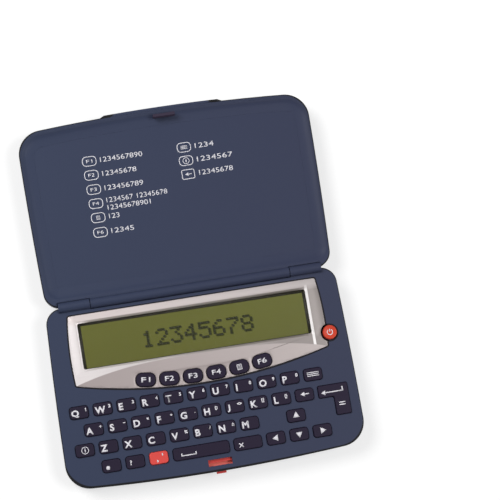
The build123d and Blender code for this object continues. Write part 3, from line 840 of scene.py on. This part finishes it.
def makeWindow():
    shape = bmesh.new()
    middle = (openLow + openHigh) / 2 / mm
    size = (openHigh - openLow) / mm
    addBar(shape, middle.x, middle.y, size.x, size.y)
    corner, gap = display["windowCorner"], display["windowGap"]
    bmesh.ops.bevel(
        shape, geom=shape.verts[:], offset=corner, segments=5, profile=0.5, affect="VERTICES", material=-1
    )
    thickness = windowTop - crystalTop - gap
    material = clearPlastic()
    piece = placePlate(
        "clear_window", shape, crystalTop + gap, thickness, "base", material, crease=30
    )
    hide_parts("display_window")


dress("lcd_panel", crystalLook())
makeDots()
makeMask()
makeWindow()

bezel = {
    "top": 12.05,
    "rim": 0.18,  # bevel round the outside
    "windowBevel": 0.9,
    "taper": 0.55,  # how much lower the opening's rear edge lies on the right
    "widerLeft": 0.3,
    "sideDrop": 0.50,  # the two sides fall away towards the tips
    "sideStart": 16.0,
    "sideReach": 40,
    "sidePower": 2.6,
    "frontSlope": 0.060,
    # the crease, as distances from the middle and places from the hinge
    "ridge": (
        (0, -28.75),
        (15, -28.9),
        (26.5, -29.25),
        (35.5, -30.1),
        (42, -31.4),
        (47.5, -32.5),
        (56.5, -34.9),
    ),
    "moreStops": (20, 31, 39, 45),  # upright cuts between the crease's points
    "rows": [-40.5 + 1.7 * row for row in range(7)],  # level cuts over the front facet
    # the same crease as a curve, for the paint
    "tip": 56.5,
    "creaseTop": -28.75,
    "creaseFall": 6.15,
    "creasePower": 2.9,
    "lipWidth": 1.15,  # of the painted highlight line right of the opening
    # painted reflections: these tones stand in for the light that each facet catches, and the lip is a
    # painted highlight
    "topLeft": colour(216, 204, 202),
    "topRight": colour(188, 180, 179),
    "leftSide": colour(226, 219, 219),
    "rightSide": colour(138, 130, 127),
    "lip": colour(242, 238, 237),
    "frontLeft": colour(162, 150, 149),
    "frontRight": colour(182, 171, 169),
    "brushTint": colour(150, 142, 141),
}
bezelLow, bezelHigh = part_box("display_bezel")
bezelMiddle = (bezelLow.x + bezelHigh.x) / 2 / mm


def ridgeAt(x):
    # the crease runs from the tips up to the front of the window
    across = abs(x - bezelMiddle)
    for (near, nearY), (far, farY) in zip(bezel["ridge"], bezel["ridge"][1:]):
        if across <= far:
            return nearY + (farY - nearY) * (across - near) / (far - near)
    return bezel["ridge"][-1][1]


def bezelHeight(x, y):
    out = max(0.0, abs(x - bezelMiddle) - bezel["sideStart"]) / bezel["sideReach"]
    fall = bezel["sideDrop"] * out ** bezel["sidePower"] + bezel["frontSlope"] * max(0.0, ridgeAt(x) - y)
    return bezel["top"] - fall


def cutSheet(shape, point, normal, low=-200.0, high=200.0):
    # a straight cut through the faces that lie between low and high along X
    faces = [face for face in shape.faces if low < face.calc_center_median().x < high]
    edges = {edge for face in faces for edge in face.edges}
    verts = {vert for face in faces for vert in face.verts}
    bmesh.ops.bisect_plane(
        shape, geom=[*faces, *edges, *verts], plane_co=point, plane_no=normal, dist=0.0005
    )


def silverPaint():
    # brushed silver paint with painted reflections: the facets left of and above the crease are painted
    # bright as if they catch the light, the rest duller
    finish = Finish("silverPaint", {"Metallic": 0.12, "Specular IOR Level": 0.5})
    brushed = finish.noise(0.9 * mm, 4.0, 0.6, stretch=(0.06, 1.6, 1))
    flakes = finish.noise(0.12 * mm, 2.0, 0.5)
    x, y = finish.axis("X"), finish.axis("Y")
    out = finish.start.math("ABSOLUTE", x - bezelMiddle * mm) * (1 / (bezel["tip"] * mm))
    fall = finish.start.math("POWER", out, bezel["creasePower"]) * (bezel["creaseFall"] * mm)
    crease = bezel["creaseTop"] * mm - fall
    below = (crease - y).between(-0.1 * mm, 0.15 * mm)
    upper = y.between(-9 * mm, -6.5 * mm)
    across = x.between(-52 * mm, 50 * mm)
    beside = finish.mix(x.between(-49 * mm, 35 * mm), bezel["leftSide"], bezel["rightSide"])
    lipLeft = openHigh.x - display["lap"] * mm
    lipRight = lipLeft + bezel["lipWidth"] * mm
    lip = x.between(lipLeft - 0.1 * mm, lipLeft) * x.between(lipRight, lipRight - 0.1 * mm)
    beside = finish.mix(lip, beside, bezel["lip"])
    above = finish.mix(upper, beside, finish.mix(across, bezel["topLeft"], bezel["topRight"]))
    shade = finish.mix(below, above, finish.mix(across, bezel["frontLeft"], bezel["frontRight"]))
    finish.set({"Base Color": finish.mix(brushed * 0.20 + flakes * 0.06, shade, bezel["brushTint"])})
    finish.set({"Roughness": brushed * 0.12 + 0.34})
    finish.bump(brushed, 0.006 * mm)
    return finish.material


def makeBezel():
    shape = flatCopy("display_bezel")
    floor = bezelLow.z / mm
    bmesh.ops.inset_region(
        shape, faces=shape.faces[:], thickness=bezel["rim"], use_boundary=True, use_even_offset=True
    )
    left, right = openLow.x / mm + display["lap"], openHigh.x / mm - display["lap"]
    front, rear = openLow.y / mm + display["lap"], openHigh.y / mm - display["lap"]

    def outside(vert):
        # distance outside the opening, whose rear edge lies lower on the right
        rearHere = rear - bezel["taper"] * (vert.co.x - left) / (right - left)
        return max(left - vert.co.x, vert.co.x - right, front - vert.co.y, vert.co.y - rearHere)

    # the bevel round the opening is widened, and its rear edge and left side are moved
    border = {vert for vert in shape.verts if vert.is_boundary}
    middle = Vector(((left + right) / 2, (front + rear) / 2))
    for vert in [vert for vert in shape.verts if outside(vert) < bezel["rim"] * 1.6 + bezel["taper"]]:
        if vert not in border:
            widen = bezel["windowBevel"] - bezel["rim"]
            vert.co.x += math.copysign(widen, vert.co.x - middle.x)
            vert.co.y += math.copysign(widen, vert.co.y - middle.y)
        if vert.co.y > middle.y:
            vert.co.y -= bezel["taper"] * (vert.co.x - left) / (right - left)
        if vert.co.x < middle.x:
            vert.co.x -= bezel["widerLeft"]
    left -= bezel["widerLeft"]
    # cuts give the sheet its vertices: upright lines, then the crease between them
    stops = [place for place, _ in bezel["ridge"]][1:-1]
    for row in bezel["rows"]:
        cutSheet(shape, (0, row, 0), (0, 1, 0))
    for place in (left - bezel["windowBevel"], right + bezel["windowBevel"]):
        cutSheet(shape, (place, 0, 0), (1, 0, 0))
    for side in (-1, 1):
        for place in sorted([*stops, *bezel["moreStops"]]):
            cutSheet(shape, (bezelMiddle + side * place, 0, 0), (1, 0, 0))
        for (near, nearY), (far, farY) in zip(bezel["ridge"], bezel["ridge"][1:]):
            low, high = sorted((bezelMiddle + side * near, bezelMiddle + side * far))
            along = Vector((side * (far - near), farY - nearY, 0))
            normal = Vector((0, 0, 1)).cross(along)
            cutSheet(shape, (bezelMiddle + side * near, nearY, 0), normal, low, high)
    # the crease and the outer line of the window's bevel are sharp
    for edge in shape.edges:
        creased = all(abs(vert.co.y - ridgeAt(vert.co.x)) < 0.01 for vert in edge.verts)
        bevelled = all(abs(outside(vert) - bezel["windowBevel"]) < 0.02 for vert in edge.verts)
        edge.smooth = not creased and not bevelled
    for vert in shape.verts:
        lowered = 0.0
        if vert.is_boundary:
            lowered = bezel["windowBevel"] if outside(vert) < 0.1 else bezel["rim"]
        vert.co.z = bezelHeight(vert.co.x, vert.co.y) - lowered
    made = bmesh.ops.extrude_face_region(shape, geom=shape.faces[:])["geom"]
    for part in made:
        if isinstance(part, bmesh.types.BMVert):
            part.co.z = floor
    piece = placePiece("silver_bezel", shape, "base", silverPaint(), crease=0)
    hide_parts("display_bezel")


# painted shade: a dark sheet stands in for the shadow in the gaps round the bezel and the power button
gapShade = {
    "tint": (colour(14, 13, 18), colour(28, 26, 32)),
    "width": 0.5,
    "under": 0.3,  # how far it reaches under the bezel
    "thickness": 0.06,
    "sink": 0.02,
    "powerRadius": 3.95,
    "powerLine": 0.65,
    "powerShift": 0.12,  # to the left and to the front
}


def gasketRubber():
    # a dark sheet for painted shade, with a mottled tone
    finish = Finish("gasketRubber", {"Specular IOR Level": 0.2})
    shadeMottle = finish.noise(0.3 * mm, 3.0)
    finish.set({"Base Color": finish.mix(shadeMottle, *gapShade["tint"]), "Roughness": shadeMottle * 0.15 + 0.6})
    return finish.material


def makeGasket():
    # thin dark sheet of painted shade on the deck, in the gaps round the bezel and the power button
    shape = flatCopy("display_bezel")
    grow(shape, gapShade["width"])
    width = gapShade["width"] + gapShade["under"]
    seal = bmesh.ops.inset_region(
        shape, faces=shape.faces[:], thickness=width, use_boundary=True, use_even_offset=True
    )["faces"]
    # the holes for the window and the oval keys get no painted shade
    holes = [(openLow, openHigh)] + [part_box("key_f" + figure) for figure in "123456"]
    unwanted = set(shape.faces) - set(seal)
    for face in seal:
        middle = face.calc_center_median() * mm
        if any(low.x < middle.x < high.x and low.y < middle.y < high.y for low, high in holes):
            unwanted.add(face)
    bmesh.ops.delete(shape, geom=list(unwanted), context="FACES")
    for vert in shape.verts:
        vert.co.z = 0
    low, high = (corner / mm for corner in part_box("power_button"))
    x, y = (low.x + high.x) / 2 - gapShade["powerShift"], (low.y + high.y) / 2 - gapShade["powerShift"]
    addRing(shape, x, y, gapShade["powerRadius"], gapShade["powerLine"], steps=48)
    height = deckTop / mm - gapShade["sink"]
    placePlate("display_gap_shade", shape, height, gapShade["thickness"], "base", gasketRubber())


makeBezel()
makeGasket()
print("display done")

# Power button: a dished disc with its switch mark

power = {
    "tint": colour(217, 77, 47),
    "purpler": colour(200, 62, 40),
    "speck": colour(240, 140, 130),
    "specks": 0.05,
    "rough": 0.34,
    "radius": 3.1,
    "dish": 0.12,
    "dishShare": 0.72,  # of the radius
    "edge": 0.35,
    "flange": 3.52,
    "flangeHeight": 0.55,
    "ring": (0, 0, 1.35, 0.34),  # x, y, radius, line
    "ringSweep": (125, 290),
    "bar": (0, 0.75, 0.36, 1.35),  # x, y, width, height
}


def makePower():
    low, high = (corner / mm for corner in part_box("power_button"))
    middle = (low + high) / 2
    radius, top, edge = power["radius"], high.z, power["edge"]
    flangeTop = low.z + power["flangeHeight"]
    # from the middle of the dish over the rounded edge and down to the flange
    profile = (
        (0, top - power["dish"]),
        (radius * power["dishShare"], top - power["dish"]),
        (radius - edge * 1.4, top),
        (radius - edge * 0.5, top - 0.06),
        (radius, top - edge),
        (radius, flangeTop),
        (power["flange"], flangeTop),
        (power["flange"], low.z),
        (0, low.z),
    )
    shape = bmesh.new()
    chain = [shape.verts.new((out, 0, height)) for out, height in profile]
    edges = [shape.edges.new(pair) for pair in zip(chain, chain[1:])]
    bmesh.ops.spin(
        shape, geom=chain + edges, cent=(0, 0, 0), axis=(0, 0, 1), angle=math.tau, steps=64, use_merge=True
    )
    bmesh.ops.remove_doubles(shape, verts=shape.verts, dist=0.0005)
    bmesh.ops.translate(shape, vec=(middle.x, middle.y, 0), verts=shape.verts)
    material = mouldedPlastic("powerRed", power).material
    piece = placePiece("power_cap", shape, "power_button", material, crease=40)
    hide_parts("power_button")
    ink = bmesh.new()
    addRing(ink, *power["ring"], *power["ringSweep"])
    addBar(ink, *power["bar"])
    printOn("power_button", ink, drop=power["dish"])


makePower()
print("power button done")

# Hidden pieces and fasteners

inside = {
    "board": (colour(24, 92, 48), colour(34, 112, 60)),
    "rubber": (colour(120, 120, 124), colour(136, 136, 140)),
    "steel": (colour(176, 178, 182), colour(200, 202, 206)),
    "cell": (colour(196, 198, 200), colour(214, 215, 217)),
}


def dressInside():
    board = Finish("solderMask", {"Roughness": 0.42})
    tracks = board.noise(2.2 * mm, 1.0).between(0.45, 0.55)
    board.set({"Base Color": board.mix(tracks, *inside["board"])})
    board.bump(tracks, 0.03 * mm)
    rubber = Finish("siliconeMat", {"Roughness": 0.7})
    rubber.set({"Base Color": rubber.mix(rubber.noise(3 * mm, 3.0), *inside["rubber"])})
    steel = Finish("zincSteel", {"Metallic": 1.0})
    scratches = steel.noise(0.4 * mm, 3.0)
    steel.set({"Base Color": steel.mix(scratches, *inside["steel"]), "Roughness": scratches * 0.15 + 0.25})
    cell = Finish("nickelCell", {"Metallic": 1.0})
    brushed = cell.noise(0.5 * mm, 3.0, stretch=(0.2, 2, 1))
    cell.set({"Base Color": cell.mix(brushed, *inside["cell"]), "Roughness": brushed * 0.12 + 0.22})
    dress("circuit_board", board.material)
    dress("key_mat", rubber.material)
    dress("case_screws", steel.material)
    dress("latch_spring", steel.material)
    dress("coin_cell", cell.material)


dressInside()
print("inside done")

# Floor, lights and camera

studio = {
    "floorSize": 3.0,
    "floorColour": (0.5, 0.5, 0.5, 1.0),
    "floorLift": 0.58,  # glow that only the camera and reflections see
    "worldLevel": 0.20,  # light that the white surroundings give
    "lampSize": 0.6,
    "lampPower": 7.0,
    "mainLight": (-0.52, 0.42, 0.85),
    "fillLight": (0.66, -0.12, 1.15),
    "cameraPlace": (-0.05525, -0.07916, 0.800),
    "tilt": math.radians(6.577),
    "lean": math.radians(6.066),
    "turn": math.radians(8.890),
    "lens": 131.25,
}


def backdropRays(start):
    # 1 for the camera and for what shows in metal and glass, 0 for light that falls on things
    rays = ("Is Camera Ray", "Is Glossy Ray", "Is Transmission Ray")
    camera, glossy, passing = (start.node("ShaderNodeLightPath", output=ray) for ray in rays)
    return start.math("MAXIMUM", start.math("MAXIMUM", camera, glossy), passing)


def makeFloor():
    mesh = bpy.data.meshes.new("studioFloor")
    shape = bmesh.new()
    bmesh.ops.create_grid(shape, x_segments=1, y_segments=1, size=studio["floorSize"] / 2)
    shape.to_mesh(mesh)
    shape.free()
    floor = bpy.data.objects.new("studioFloor", mesh)
    bpy.context.scene.collection.objects.link(floor)
    material = bpy.data.materials.new("studioPaper")
    material.use_nodes = True
    material.node_tree.nodes.clear()
    start = Wire(material.node_tree)
    seen = backdropRays(start)
    paper = start.node("ShaderNodeBsdfDiffuse", {}, {"Color": studio["floorColour"]})
    lift = start.node("ShaderNodeEmission", {}, {"Strength": seen * studio["floorLift"]})
    both = start.node("ShaderNodeAddShader", {}, {0: paper, 1: lift})
    start.node("ShaderNodeOutputMaterial", {}, {"Surface": both})
    mesh.materials.append(material)


def makeWorld():
    world = bpy.data.worlds.new("studioWorld")
    bpy.context.scene.world = world
    world.use_nodes = True
    world.node_tree.nodes.clear()
    start = Wire(world.node_tree)
    level = backdropRays(start) * (1 - studio["worldLevel"]) + studio["worldLevel"]
    light = start.node("ShaderNodeBackground", {}, {"Color": (1, 1, 1, 1), "Strength": level})
    start.node("ShaderNodeOutputWorld", {}, {"Surface": light})


def softLight(name):
    # a round soft lamp that points at the origin
    data = bpy.data.lights.new(name, "AREA")
    data.shape = "DISK"
    data.size = studio["lampSize"]
    data.energy = studio["lampPower"]
    lamp = bpy.data.objects.new(name, data)
    lamp.location = studio[name]
    lamp.rotation_euler = (-Vector(studio[name])).to_track_quat("-Z", "Y").to_euler()
    bpy.context.scene.collection.objects.link(lamp)


def makeCamera():
    # looks straight down, then tilts towards +Y, leans towards +X and turns about its own axis
    tilt, lean, turn = studio["tilt"], studio["lean"], studio["turn"]
    data = bpy.data.cameras.new("studioCamera")
    data.lens = studio["lens"]
    data.sensor_width = 36
    data.clip_start = 0.01
    data.clip_end = 20
    camera = bpy.data.objects.new("studioCamera", data)
    forward = Vector((math.sin(lean) * math.cos(tilt), math.sin(tilt), -math.cos(tilt) * math.cos(lean)))
    forward.normalize()
    right = (Vector((1, 0, 0)) - forward * forward.x).normalized()
    up = right.cross(forward)
    across = right * math.cos(turn) - up * math.sin(turn)
    upwards = right * math.sin(turn) + up * math.cos(turn)
    axes = Matrix((across, upwards, -forward)).transposed().to_4x4()
    camera.matrix_world = Matrix.Translation(studio["cameraPlace"]) @ axes
    bpy.context.scene.collection.objects.link(camera)
    bpy.context.scene.camera = camera


makeFloor()
makeWorld()
softLight("mainLight")
softLight("fillLight")
makeCamera()
bpy.context.scene.view_settings.view_transform = "Standard"
print("studio ready")
